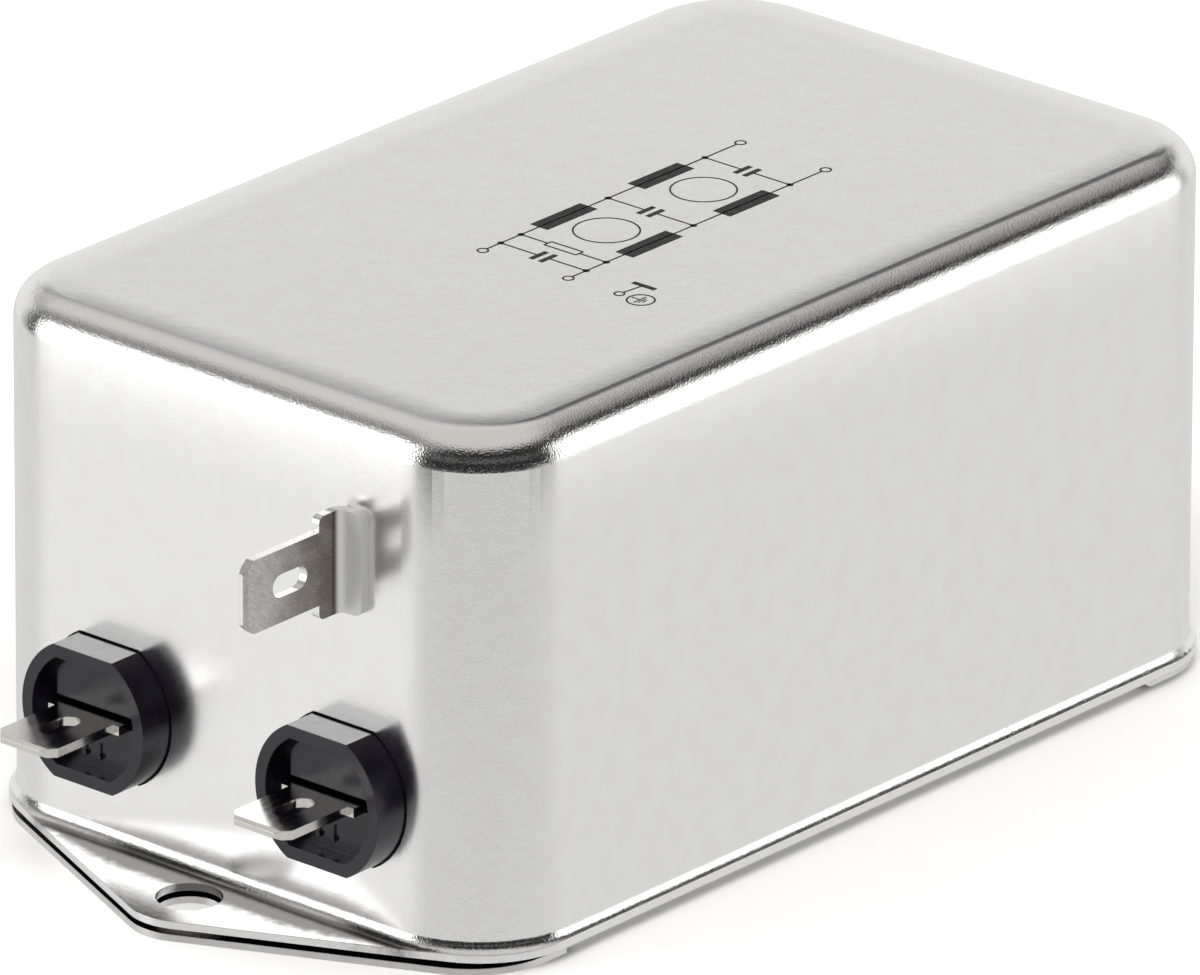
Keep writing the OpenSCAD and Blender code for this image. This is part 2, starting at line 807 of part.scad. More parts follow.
module winding(end, side) {
    face = end == "line" ? -1 : 1;
    color([0.72, 0.38, 0.16])
    at_choke(end)
        if (side > 0) winding_half(face);
        else mirror([1, 0, 0]) winding_half(face);
}

/* ---- capacitors and resistor ---- */

// Boxed film capacitor with a sunk potting face towards the board
module capacitor(y) {
    color([0.86, 0.66, 0.16])
    translate([0, y, board_top]) {
        difference() {
            linear_extrude(capacitor_height)
                rounded_rect(capacitor_width, capacitor_thickness, capacitor_corner);
            translate([0, 0, -cut])
                linear_extrude(cut + potting_recess)
                    rounded_rect(capacitor_width - 2 * capacitor_wall,
                        capacitor_thickness - 2 * capacitor_wall, potting_corner);
        }
        for (side = [-1, 1])
            translate([side * capacitor_pitch / 2, 0, lead_bottom - board_top])
                cylinder(d = capacitor_lead, h = board_top - lead_bottom + potting_recess + cut);
    }
}

module bleed_resistor() {
    cap_radius = (resistor_diameter + resistor_cap_extra) / 2;
    straight = resistor_pitch / 2 - resistor_bend;
    color([0.55, 0.68, 0.74])
    translate([0, resistor_y, resistor_z]) {
        rotate([0, 90, 0]) {
            cylinder(d = resistor_diameter, h = resistor_length, center = true);
            for (side = [-1, 1])
                translate([0, 0, side * (resistor_length - resistor_cap_length) / 2])
                    cylinder(r = cap_radius, h = resistor_cap_length, center = true);
            cylinder(d = resistor_lead, h = 2 * straight, center = true);
        }
        for (turn = [0, 180]) rotate(turn) {
            translate([straight, 0, -resistor_bend])
                rotate([90, 0, 0]) rotate_extrude(angle = 90)
                    translate([resistor_bend, 0]) circle(d = resistor_lead);
            translate([resistor_pitch / 2, 0, lead_bottom - resistor_z])
                cylinder(d = resistor_lead, h = resistor_z - resistor_bend - lead_bottom);
        }
    }
}

/* ---- nodes ---- */

can();
base_plate();
insulating_sheet();
liner();
circuit_board();
copper_areas();
solder_joints();
insulator("line", -1);  // line_insulator_p
insulator("line", 1);  // line_insulator_n
insulator("load", -1);  // load_insulator_p
insulator("load", 1);  // load_insulator_n
power_tab("line", -1);  // line_tab_p
power_tab("line", 1);  // line_tab_n
power_tab("load", -1);  // load_tab_p
power_tab("load", 1);  // load_tab_n
earth_tab();
choke_core("line");  // line_choke_core
choke_core("load");  // load_choke_core
choke_carrier("line");  // line_choke_carrier
choke_carrier("load");  // load_choke_carrier
choke_divider("line");  // line_choke_divider
choke_divider("load");  // load_choke_divider
winding("line", -1);  // line_winding_p
winding("line", 1);  // line_winding_n
winding("load", -1);  // load_winding_p
winding("load", 1);  // load_winding_n
capacitor(-capacitor_y);  // line_capacitor
capacitor(0);  // middle_capacitor
capacitor(capacitor_y);  // load_capacitor
bleed_resistor();
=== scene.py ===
"""Dresses the two-stage chassis filter: finishes for every CAD piece, the wordless circuit
diagram printed on the can, a pale floor, soft studio light and the camera."""
import json
import math

import bmesh
import bpy
from mathutils import Matrix, Vector


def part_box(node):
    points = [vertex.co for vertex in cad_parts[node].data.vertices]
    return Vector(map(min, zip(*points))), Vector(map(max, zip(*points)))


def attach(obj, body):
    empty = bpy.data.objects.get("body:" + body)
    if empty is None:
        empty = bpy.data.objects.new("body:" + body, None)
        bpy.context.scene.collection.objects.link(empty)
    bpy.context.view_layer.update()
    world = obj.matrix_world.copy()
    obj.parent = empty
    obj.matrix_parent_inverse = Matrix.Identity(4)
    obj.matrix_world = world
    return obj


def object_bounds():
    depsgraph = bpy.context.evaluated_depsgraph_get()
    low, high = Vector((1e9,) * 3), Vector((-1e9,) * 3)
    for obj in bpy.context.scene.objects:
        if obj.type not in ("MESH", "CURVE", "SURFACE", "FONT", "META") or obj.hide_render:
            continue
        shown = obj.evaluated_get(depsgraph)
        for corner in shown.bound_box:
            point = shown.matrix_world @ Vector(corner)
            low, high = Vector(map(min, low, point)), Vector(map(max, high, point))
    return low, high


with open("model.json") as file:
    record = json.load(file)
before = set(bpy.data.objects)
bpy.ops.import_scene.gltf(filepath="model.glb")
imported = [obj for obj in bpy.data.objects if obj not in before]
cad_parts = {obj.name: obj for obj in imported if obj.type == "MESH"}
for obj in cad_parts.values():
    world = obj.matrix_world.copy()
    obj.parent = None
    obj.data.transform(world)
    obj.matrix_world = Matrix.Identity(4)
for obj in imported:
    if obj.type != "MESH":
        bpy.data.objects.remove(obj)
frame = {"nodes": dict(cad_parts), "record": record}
CAD_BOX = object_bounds()
MM = 0.001
CAN_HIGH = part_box("can")[1]

# places on the can, in mm
EARTH_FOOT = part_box("earth_tab")[1].y / MM  # where the earth tab lies on the end wall
WALL_END = -EARTH_FOOT  # how far the end walls stand from the middle
TOP_Z = CAN_HIGH.z / MM
CROWN_RADIUS = 3.0
SIDE_FLARE = 0.45  # how far the trimmed flare stands out from the long walls
TOP_HALF = (CAN_HIGH.x / MM - SIDE_FLARE - CROWN_RADIUS, WALL_END - CROWN_RADIUS)  # flat top
TOP_CORNER = 6.5  # corner radius of the flat top
ROLL_WIDTH = 3.0  # the top's outermost strip, which falls away a little
ROLL_DEPTH = 0.07
LEAN_START = 10.0  # below the top: from here up the walls lean in a little
LEAN_HEIGHT = 7.0
LEAN_DEPTH = 0.24

# dark colours on bare metal, all painted light: first a painted dark reflection on the can's ears
EAR_PAINTED_REFLECTION = (0.09, 0.08, 0.072)
# painted shade in the gap between the can and the base plate
GAP_PAINTED_SHADE = (0.10, 0.095, 0.09)
# painted shade in the earth tab's bend
BEND_PAINTED_SHADE = (0.10, 0.09, 0.085)

# ---------------------------------------------------------------- node helpers


def node(tree, kind, inputs=None, **settings):
    """Adds a shader node, sets its fields, and sets or links its inputs."""
    made = tree.nodes.new("ShaderNode" + kind)
    for name, value in settings.items():
        setattr(made, name, value)
    for name, value in (inputs or {}).items():
        if isinstance(value, bpy.types.NodeSocket):
            tree.links.new(value, made.inputs[name])
        else:
            made.inputs[name].default_value = value
    return made


def calc(tree, operation, a, b=0.0, clamp=False):
    """One sum on numbers; clamp keeps the result between 0 and 1."""
    return node(tree, "Math", {0: a, 1: b}, operation=operation, use_clamp=clamp).outputs[0]


def plus(tree, a, b, clamp=False):
    """a + b"""
    return calc(tree, "ADD", a, b, clamp)


def minus(tree, a, b):
    """a - b"""
    return calc(tree, "SUBTRACT", a, b)


def times(tree, a, b, clamp=False):
    """a x b"""
    return calc(tree, "MULTIPLY", a, b, clamp)


def unsigned(tree, value):
    """The value without its sign."""
    return calc(tree, "ABSOLUTE", value)


def ramp(tree, value, low, high, out_low=0.0, out_high=1.0):
    """Moves value smoothly from out_low to out_high between low and high."""
    return node(
        tree, "MapRange",
        {"Value": value, "From Min": low, "From Max": high,
         "To Min": out_low, "To Max": out_high},
        interpolation_type="SMOOTHSTEP",
    ).outputs["Result"]


def spread(tree, grain, out_low=0.0, out_high=1.0):
    """Moves from out_low to out_high over the values that a noise mostly has."""
    return ramp(tree, grain, 0.3, 0.7, out_low, out_high)


def window(tree, value, centre, half, soft):
    """1 within half of centre, falling to 0 over soft."""
    away = unsigned(tree, minus(tree, value, centre))
    return ramp(tree, away, half, half + soft, 1.0, 0.0)


def blend_colour(tree, factor, first, second):
    """Colour that goes from first to second with factor."""
    made = node(tree, "Mix", {0: factor}, data_type="RGBA")
    for socket, value in ((made.inputs[6], first), (made.inputs[7], second)):
        if isinstance(value, bpy.types.NodeSocket):
            tree.links.new(value, socket)
        else:
            socket.default_value = (*value, 1.0)
    return made.outputs[2]


def millimetres(tree, stretch=(1.0, 1.0, 1.0), turn=0.0):
    """The object's own coordinates in millimetres, each axis divided by its stretch; turn, in
    degrees about X, lays the stretch aslant."""
    place = node(tree, "TexCoord").outputs["Object"]
    if turn:
        place = node(tree, "VectorRotate", {"Vector": place, "Angle": math.radians(turn)},
                     rotation_type="X_AXIS").outputs[0]
    scale = Vector((1.0 / MM / s for s in stretch))
    return node(tree, "VectorMath", {0: place, 1: scale}, operation="MULTIPLY").outputs[0]


def noise(tree, size, detail=3.0, stretch=(1.0, 1.0, 1.0), roughness=0.5, turn=0.0):
    """Noise whose grains are about size millimetres, drawn out along each axis by its stretch."""
    return node(
        tree, "TexNoise",
        {"Vector": millimetres(tree, stretch, turn), "Scale": 1.0 / size,
         "Detail": detail, "Roughness": roughness},
    ).outputs["Fac"]


def bump(tree, height, depth, strength=1.0, under=None):
    """Normal from a height field; depth is in millimetres."""
    inputs = {"Height": height, "Distance": depth * MM, "Strength": strength}
    if under is not None:
        inputs["Normal"] = under
    return node(tree, "Bump", inputs).outputs["Normal"]


def fall_away(tree, part, depth, strength, under):
    """Normal of a surface that sinks with the square of part, by depth millimetres at 1."""
    return bump(tree, times(tree, part, times(tree, part, -1.0)), depth, strength, under)


def soft_edges(tree, radius):
    """Normal that rounds sharp edges by radius millimetres."""
    return node(tree, "Bevel", {"Radius": radius * MM}, samples=4).outputs["Normal"]


def normal_part(tree, axis):
    """One part of the surface's own normal, from -1 to 1."""
    normal = node(tree, "NewGeometry").outputs["True Normal"]
    return node(tree, "SeparateXYZ", {0: normal}).outputs[axis]


def facing(tree, axis):
    """How far the surface's own normal lies along an axis, from 0 to 1."""
    return unsigned(tree, normal_part(tree, axis))


def place_part(tree, axis):
    """One of the object's own coordinates, in millimetres."""
    return node(tree, "SeparateXYZ", {0: millimetres(tree)}).outputs[axis]


def material(name, **sockets):
    """New material with one Principled shader; the sockets given hold all over the surface."""
    made = bpy.data.materials.new(name)
    made.use_nodes = True
    shader = made.node_tree.nodes["Principled BSDF"]
    for socket, value in sockets.items():
        shader.inputs[socket.replace("_", " ")].default_value = value
    return made, made.node_tree, shader


def drive(tree, shader, **links):
    """Links computed colour, roughness, normal and the like into the shader."""
    for socket, value in links.items():
        tree.links.new(value, shader.inputs[socket.replace("_", " ")])


# ---------------------------------------------------------------- finishes


def crown_distance(tree):
    """How far a point of the can's top lies from the start of its rounded crown, in mm, below 0
    inside it."""
    squares = []
    for axis, half in enumerate(TOP_HALF):
        past = minus(tree, unsigned(tree, place_part(tree, axis)), half - TOP_CORNER)
        past = calc(tree, "MAXIMUM", past, 0.0)
        squares.append(times(tree, past, past))
    return minus(tree, calc(tree, "SQRT", plus(tree, *squares)), TOP_CORNER)


def ear_painted_reflection(tree, colour):
    """Adds a painted dark reflection on the can's ears, darkest beside the wall and widest in the
    middle."""
    reach = minus(tree, unsigned(tree, place_part(tree, 1)), WALL_END)
    width = ramp(tree, unsigned(tree, place_part(tree, 0)), 8.0, 27.0, 4.2, 0.3)
    blotch = times(tree, minus(tree, noise(tree, 0.8, 4.0), 0.5), 1.2)
    past_edge = minus(tree, plus(tree, reach, blotch), width)
    near_wall = ramp(tree, past_edge, -1.2, 0.5, 1.0, 0.0)
    low = ramp(tree, place_part(tree, 2), 2.2, 3.4, 1.0, 0.0)
    # where the painted dark reflection lies: beside the wall, low on the ears
    painted_band = times(tree, times(tree, near_wall, low), ramp(tree, reach, 0.3, 1.4))
    return blend_colour(tree, times(tree, painted_band, 0.92), colour, EAR_PAINTED_REFLECTION)


def drawn_shape(tree, normal):
    """Normal of the can's flats, which fall away beside the drawn crown: the top over its last
    strip, the straight walls below it."""
    inward = plus(tree, crown_distance(tree), ROLL_WIDTH)
    roll = times(tree, inward, 1.0 / ROLL_WIDTH, clamp=True)
    normal = fall_away(tree, roll, ROLL_DEPTH, 1.0, normal)
    above = minus(tree, place_part(tree, 2), TOP_Z - LEAN_START)
    lean = times(tree, above, 1.0 / LEAN_HEIGHT, clamp=True)
    upright = calc(tree, "MAXIMUM", facing(tree, 0), facing(tree, 1))
    return fall_away(tree, lean, LEAN_DEPTH, ramp(tree, upright, 0.9, 0.99), normal)


def plated_steel(name, light, dark, rough, gap_side):
    """Satin plated sheet: faint hairlines and mottling, and a sparkling grain that the drawing
    of the sheet has opened along its crown and bends. Edges are just broken. gap_side is the
    side, 1 up or -1 down, that lies against the other sheet and is darkened there as painted
    shade of the gap; the can is the upper sheet, with its gap below, and has a painted dark
    reflection on its ears."""
    made, tree, shader = material(name, Metallic=1.0)
    is_can = gap_side < 0
    mottle = noise(tree, 2.4, 5.0, roughness=0.65)
    grain = noise(tree, 0.17, 1.0, roughness=0.6)
    hairs = noise(tree, 0.12, 2.0, stretch=(1.0, 30.0, 1.0))
    peel = noise(tree, 0.9, 2.0)
    colour = blend_colour(tree, spread(tree, mottle), dark, light)
    colour = blend_colour(tree, ramp(tree, hairs, 0.35, 0.75, 0.0, 0.3), colour, dark)
    if is_can:
        # the can's ears get a painted dark reflection beside the wall
        colour = ear_painted_reflection(tree, colour)
    # painted shade in the gap: faces turned to the other sheet are darkened
    inside = ramp(tree, times(tree, normal_part(tree, 2), gap_side), 0.4, 0.7)
    colour = blend_colour(tree, times(tree, inside, 0.85), colour, GAP_PAINTED_SHADE)
    level = facing(tree, 2)
    bent = times(tree, ramp(tree, level, 0.02, 0.12), ramp(tree, level, 0.93, 0.995, 1.0, 0.0))
    gloss = plus(tree, spread(tree, grain, rough[1], rough[0]),
                 ramp(tree, level, 0.0, 0.05, 0.06, 0.0))
    normal = bump(tree, peel, 0.004, 1.0, soft_edges(tree, 0.08))
    if is_can:
        normal = drawn_shape(tree, normal)
    normal = bump(tree, grain, 0.026, ramp(tree, bent, 0.0, 1.0, 0.12, 1.0), normal)
    drive(tree, shader, Base_Color=colour, Roughness=gloss, Normal=normal)
    return made


def moulded_plastic(name, light, dark, rough, edge, polished_flats=False):
    """Moulded plastic: faint spark-eroded grain, soft edges and slow colour drift; its upper
    flats can be polished."""
    made, tree, shader = material(name, IOR=1.5)
    drift = noise(tree, 3.0, 3.0)
    grain = noise(tree, 0.14, 2.0)
    colour = blend_colour(tree, spread(tree, drift), dark, light)
    gloss = spread(tree, noise(tree, 0.9, 3.0), *rough)
    normal = bump(tree, grain, 0.006, 1.0, soft_edges(tree, edge))
    drive(tree, shader, Base_Color=colour, Roughness=gloss, Normal=normal)
    if polished_flats:
        flat = ramp(tree, normal_part(tree, 2), 0.85, 0.98)
        specular = plus(tree, 0.5, times(tree, flat, 0.5))
        drive(tree, shader, Specular_IOR_Level=specular, Coat_Weight=flat)
        shader.inputs["Coat Roughness"].default_value = 0.12
    return made


def stamped_metal(name, face, face_dark, cut, rough):
    """Stamped blade: drawn grain along Y, plated faces and browner cut edges."""
    made, tree, shader = material(name, Metallic=1.0)
    streaks = noise(tree, 0.11, 3.0, stretch=(1.0, 22.0, 1.0), roughness=0.6)
    clouds = noise(tree, 2.2, 3.0)
    plated = blend_colour(tree, spread(tree, streaks), face_dark, face)
    plated = blend_colour(tree, ramp(tree, clouds, 0.4, 0.75, 0.0, 0.35), plated, face_dark)
    on_face = ramp(tree, facing(tree, 2), 0.45, 0.8)
    colour = blend_colour(tree, on_face, cut, plated)
    gloss = spread(tree, streaks, *rough)
    normal = bump(tree, streaks, 0.003, 1.0, soft_edges(tree, 0.07))
    drive(tree, shader, Base_Color=colour, Roughness=gloss, Normal=normal)
    return made


def worn_tab(name, bright, brown, cut, foot):
    """Earth tab: tarnished blade with slanting scratches, browner towards its bend, bright cut
    edges, painted shade in the bend, and a dull foot on the wall whose light grey is painted light."""
    made, tree, shader = material(name, Metallic=1.0)
    scratches = noise(tree, 0.09, 3.0, stretch=(1.0, 14.0, 1.0), roughness=0.65, turn=35.0)
    clouds = noise(tree, 1.8, 5.0, roughness=0.6)
    reach = minus(tree, EARTH_FOOT, place_part(tree, 1))
    patches = times(tree, minus(tree, clouds, 0.5), 1.3)
    fade = plus(tree, ramp(tree, reach, 1.5, 11.5), patches, clamp=True)
    blade = blend_colour(tree, fade, brown, bright)
    blade = blend_colour(tree, ramp(tree, scratches, 0.35, 0.7, 0.0, 0.35), blade, brown)
    on_face = ramp(tree, facing(tree, 0), 0.45, 0.8)
    colour = blend_colour(tree, on_face, cut, blade)
    # the foot's light grey is painted light, for the lit look of a face turned to the front; it is
    # also duller and less metallic
    on_foot = ramp(tree, reach, 1.4, 1.6, 1.0, 0.0)
    colour = blend_colour(tree, on_foot, colour, foot)
    # painted shade in the bend between blade and foot
    bend_shade = window(tree, reach, 1.6, 0.12, 0.4)
    colour = blend_colour(tree, times(tree, bend_shade, 0.7), colour, BEND_PAINTED_SHADE)
    gloss = plus(tree, spread(tree, scratches, 0.22, 0.36), times(tree, on_foot, 0.2))
    normal = bump(tree, scratches, 0.004, 1.0, soft_edges(tree, 0.07))
    metal = ramp(tree, on_foot, 0.0, 1.0, 1.0, 0.3)
    drive(tree, shader, Base_Color=colour, Metallic=metal, Roughness=gloss, Normal=normal)
    return made


def film(name, light, dark):
    """Thin insulating sheet, a little cloudy."""
    made, tree, shader = material(name, IOR=1.5)
    clouds = noise(tree, 5.0, 4.0)
    fibres = noise(tree, 0.3, 3.0, stretch=(1.0, 7.0, 1.0))
    colour = blend_colour(tree, spread(tree, clouds), dark, light)
    gloss = spread(tree, fibres, 0.38, 0.55)
    drive(tree, shader, Base_Color=colour, Roughness=gloss, Normal=bump(tree, fibres, 0.01))
    return made


def laminate(name, resin, glass):
    """Glass laminate: a fine weave under green lacquer."""
    made, tree, shader = material(name, IOR=1.52)
    warp = noise(tree, 0.45, 2.0, stretch=(1.0, 14.0, 1.0))
    weft = noise(tree, 0.45, 2.0, stretch=(14.0, 1.0, 1.0))
    cloth = times(tree, warp, weft)
    colour = blend_colour(tree, ramp(tree, cloth, 0.15, 0.38), resin, glass)
    gloss = ramp(tree, cloth, 0.15, 0.38, 0.22, 0.4)
    drive(tree, shader, Base_Color=colour, Roughness=gloss, Normal=bump(tree, cloth, 0.02))
    return made


def bare_metal(name, light, dark, rough, grain):
    """Copper or solder: uneven tarnish and gloss."""
    made, tree, shader = material(name, Metallic=1.0)
    tarnish = noise(tree, grain, 4.0)
    colour = blend_colour(tree, ramp(tree, tarnish, 0.35, 0.7), light, dark)
    gloss = spread(tree, tarnish, *rough)
    drive(tree, shader, Base_Color=colour, Roughness=gloss, Normal=bump(tree, tarnish, 0.02))
    return made


def enamelled_wire(name, light, dark):
    """Enamelled copper: a clear amber coat over drawn copper."""
    made, tree, shader = material(name, Metallic=1.0, Coat_Weight=0.7, Coat_Roughness=0.12)
    streaks = noise(tree, 0.5, 4.0)
    colour = blend_colour(tree, spread(tree, streaks), dark, light)
    gloss = spread(tree, streaks, 0.2, 0.35)
    drive(tree, shader, Base_Color=colour, Roughness=gloss, Normal=bump(tree, streaks, 0.01))
    return made


def epoxy(name, light, dark):
    """Sprayed epoxy on a ferrite ring: orange peel and specks."""
    made, tree, shader = material(name, IOR=1.5)
    peel = noise(tree, 0.7, 3.0)
    specks = ramp(tree, noise(tree, 0.2, 1.0), 0.6, 0.72)
    colour = blend_colour(tree, specks, light, dark)
    gloss = spread(tree, peel, 0.25, 0.45)
    drive(tree, shader, Base_Color=colour, Roughness=gloss, Normal=bump(tree, peel, 0.05))
    return made


def printing_ink(name, full, thin):
    """Pad-printed black ink: thin, dull and slightly uneven."""
    made, tree, shader = material(name, IOR=1.45)
    cover = noise(tree, 0.35, 3.0)
    colour = blend_colour(tree, ramp(tree, cover, 0.35, 0.75), full, thin)
    gloss = spread(tree, cover, 0.42, 0.62)
    drive(tree, shader, Base_Color=colour, Roughness=gloss, Normal=bump(tree, cover, 0.004))
    return made


# For each of the record's slots: what makes its finish, and with which colours and values.
FINISHES = {
    "can_steel": (plated_steel, (0.90, 0.895, 0.89), (0.875, 0.868, 0.86), (0.15, 0.19), -1.0),
    "base_steel": (plated_steel, (0.80, 0.795, 0.785), (0.72, 0.71, 0.70), (0.22, 0.32), 1.0),
    "insulator_plastic": (
        moulded_plastic, (0.013, 0.0105, 0.021), (0.006, 0.005, 0.009), (0.18, 0.28), 0.12, True),
    "tab_metal": (
        stamped_metal, (0.86, 0.845, 0.81), (0.74, 0.72, 0.68), (0.66, 0.635, 0.60), (0.10, 0.2)),
    # the earth tab's last colour, the foot's light grey, is painted light
    "earth_tab_metal": (
        worn_tab, (0.66, 0.635, 0.62), (0.27, 0.235, 0.21), (0.86, 0.845, 0.83), (0.8, 0.8, 0.8)),
    "insulating_film": (film, (0.84, 0.80, 0.68), (0.76, 0.71, 0.58)),
    "board_laminate": (laminate, (0.07, 0.14, 0.05), (0.13, 0.22, 0.08)),
    "copper": (bare_metal, (0.86, 0.48, 0.30), (0.60, 0.28, 0.16), (0.25, 0.42), 0.5),
    "solder": (bare_metal, (0.80, 0.80, 0.81), (0.60, 0.60, 0.62), (0.18, 0.38), 0.3),
    "core_coating": (epoxy, (0.045, 0.12, 0.11), (0.02, 0.06, 0.055)),
    "carrier_plastic": (
        moulded_plastic, (0.80, 0.78, 0.71), (0.74, 0.72, 0.64), (0.42, 0.55), 0.15),
    "winding_wire": (enamelled_wire, (0.72, 0.33, 0.13), (0.52, 0.20, 0.07)),
    "capacitor_case": (moulded_plastic, (0.72, 0.44, 0.03), (0.64, 0.38, 0.025), (0.3, 0.42), 0.25),
    "resistor_lacquer": (moulded_plastic, (0.26, 0.42, 0.50), (0.20, 0.34, 0.42), (0.2, 0.32), 0.1),
}


def dress_nodes():
    """Gives each CAD node its finish, by the record's slots."""
    finishes = {slot: make(slot, *values) for slot, (make, *values) in FINISHES.items()}
    for entry in frame["record"]["subparts"]:
        mesh = frame["nodes"][entry["node"]].data
        mesh.materials.clear()
        mesh.materials.append(finishes[entry["material_slot"]])


# ---------------------------------------------------------------- printed circuit diagram

PRINT_FLOOR = CAN_HIGH.z - 0.004 * MM
PRINT_THICKNESS = 0.02 * MM
INK = printing_ink("printing_ink", (0.004, 0.004, 0.004), (0.016, 0.015, 0.015))

# the diagram, in mm: X across the can, Y along it
RAIL_P = -1.5  # sideways places of the two conductors
RAIL_N = 7.7
MIDDLE = (RAIL_P + RAIL_N) / 2
LINE_END = -14.0  # ends of the conductors
LOAD_END = 18.1
STAGE = 12.1  # pitch of the two filter stages
TERMINAL_RADIUS = 0.45
JUNCTION_RADIUS = 0.3
FIRST_CHOKE = -4.0
CHOKE_LENGTH = 6.2
CHOKE_WIDTH = 1.9
CORE_RADIUS = 2.75
FIRST_CAPACITOR = -11.8
CAPACITOR_SHIFT = 1.2  # the second and third capacitor stand this much past the stage's pitch
PLATE_PLACE = 0.5  # of a capacitor's plates, from the middle
PLATE_LENGTH = 2.0
RESISTOR_Y = -9.3
RESISTOR_LENGTH = 3.4
RESISTOR_WIDTH = 0.9
EARTH_PIN = (13.0, -13.8)
EARTH_BAR_Y = -11.2
EARTH_SIGN = (15.2, -13.7)
THIN = 0.16  # usual width of a line
BOLD = 0.5
FINE = 0.12
ROUND_STEPS = 48


def prism(mesh, outline):
    """Thin plate of ink with the given outline, in mm."""
    lower = [mesh.verts.new((x * MM, y * MM, PRINT_FLOOR)) for x, y in outline]
    face = mesh.faces.new(lower)
    raised = bmesh.ops.extrude_face_region(mesh, geom=[face])["geom"]
    up = Vector((0.0, 0.0, PRINT_THICKNESS))
    upper = [v for v in raised if isinstance(v, bmesh.types.BMVert)]
    bmesh.ops.translate(mesh, vec=up, verts=upper)


def stroke(mesh, start, end, width=THIN):
    """Straight line of ink."""
    a, b = Vector(start), Vector(end)
    side = (b - a).normalized().orthogonal() * width / 2
    prism(mesh, [a + side, b + side, b - side, a - side])


def on_circle(centre, radius, step):
    """Point number step of ROUND_STEPS on a circle."""
    angle = step * (2 * math.pi / ROUND_STEPS)
    return centre[0] + radius * math.cos(angle), centre[1] + radius * math.sin(angle)


def disc(mesh, centre, radius):
    """Round dot of ink."""
    prism(mesh, [on_circle(centre, radius, i) for i in range(ROUND_STEPS)])


def ring(mesh, centre, radius, width=THIN):
    """Circle of ink, open in the middle."""
    outer, inner = radius + width / 2, radius - width / 2
    for i in range(ROUND_STEPS):
        prism(mesh, [on_circle(centre, r, step)
                     for step, r in ((i, outer), (i + 1, outer), (i + 1, inner), (i, inner))])


def frame_line(mesh, centre, width, length):
    """Outlined rectangle of ink."""
    x, y = centre
    half_x, half_y = width / 2, length / 2
    for side in (-1, 1):
        stroke(mesh, (x + side * half_x, y - half_y), (x + side * half_x, y + half_y))
        stroke(mesh, (x - half_x, y + side * half_y), (x + half_x, y + side * half_y))


def draw_rails(mesh):
    """The two conductors, from terminal to terminal."""
    for x in (RAIL_P, RAIL_N):
        stroke(mesh, (x, LINE_END + TERMINAL_RADIUS), (x, LOAD_END - TERMINAL_RADIUS))


def draw_terminals(mesh):
    """Open circles at the ends of the conductors."""
    for x in (RAIL_P, RAIL_N):
        for y in (LINE_END, LOAD_END):
            ring(mesh, (x, y), TERMINAL_RADIUS)


def draw_chokes(mesh):
    """Four filled bars, and the two cores between them."""
    for y in (FIRST_CHOKE, FIRST_CHOKE + STAGE):
        for x in (RAIL_P, RAIL_N):
            stroke(mesh, (x, y - CHOKE_LENGTH / 2), (x, y + CHOKE_LENGTH / 2), CHOKE_WIDTH)
        ring(mesh, (MIDDLE, y), CORE_RADIUS)


def draw_leads(mesh, y, gap):
    """Leads from both conductors towards the middle, ending gap short of it, and their dots."""
    for side, rail in ((-1, RAIL_P), (1, RAIL_N)):
        stroke(mesh, (rail, y), (MIDDLE + side * gap, y))
        disc(mesh, (rail, y), JUNCTION_RADIUS)


def draw_capacitors(mesh):
    """Three capacitors across the conductors."""
    second = FIRST_CAPACITOR + STAGE + CAPACITOR_SHIFT
    for y in (FIRST_CAPACITOR, second, second + STAGE):
        draw_leads(mesh, y, PLATE_PLACE + BOLD / 2)
        for side in (-1, 1):
            x = MIDDLE + side * PLATE_PLACE
            stroke(mesh, (x, y - PLATE_LENGTH / 2), (x, y + PLATE_LENGTH / 2), BOLD)


def draw_resistor(mesh):
    """The bleed resistor across the conductors."""
    draw_leads(mesh, RESISTOR_Y, RESISTOR_LENGTH / 2)
    frame_line(mesh, (MIDDLE, RESISTOR_Y), RESISTOR_LENGTH, RESISTOR_WIDTH)


def draw_earth(mesh):
    """Earth terminal with its bar, and the earth sign in a circle beside it."""
    ring(mesh, EARTH_PIN, 0.42)
    stroke(mesh, (13.05, -13.4), (13.3, EARTH_BAR_Y))
    stroke(mesh, (12.2, EARTH_BAR_Y), (14.6, EARTH_BAR_Y), BOLD)
    ring(mesh, EARTH_SIGN, 1.15)
    y, first = EARTH_SIGN[1], 15.1
    stroke(mesh, (14.25, y), (first, y), FINE)
    for i, half in enumerate((0.75, 0.5, 0.25)):
        x = first + 0.26 * i
        stroke(mesh, (x, y - half), (x, y + half), FINE)


def print_piece(name, draw):
    """Makes one printed piece and lets it ride on the filter."""
    mesh = bmesh.new()
    draw(mesh)
    bmesh.ops.recalc_face_normals(mesh, faces=mesh.faces)
    data = bpy.data.meshes.new(name)
    mesh.to_mesh(data)
    mesh.free()
    data.materials.append(INK)
    piece = bpy.data.objects.new(name, data)
    bpy.context.scene.collection.objects.link(piece)
    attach(piece, "root")


def print_diagram():
    """The six printed pieces."""
    print_piece("print_conductors", draw_rails)
    print_piece("print_terminals", draw_terminals)
    print_piece("print_chokes", draw_chokes)
    print_piece("print_capacitors", draw_capacitors)
    print_piece("print_resistor", draw_resistor)
    print_piece("print_earth_sign", draw_earth)


# ---------------------------------------------------------------- floor, light and camera

CAMERA_AZIMUTH = math.radians(40.94)
CAMERA_ELEVATION = math.radians(22.29)
CAMERA_ROLL = math.radians(0.208)
CAMERA_DISTANCE = 1.7101
CAMERA_TARGET = Vector((-5.27, 4.96, 18.66)) * MM
CAMERA_LENS = 622.5
CAMERA_HEADING = Vector((math.sin(CAMERA_AZIMUTH), -math.cos(CAMERA_AZIMUTH), 0.0))

WHITE = (1.0, 1.0, 1.0)

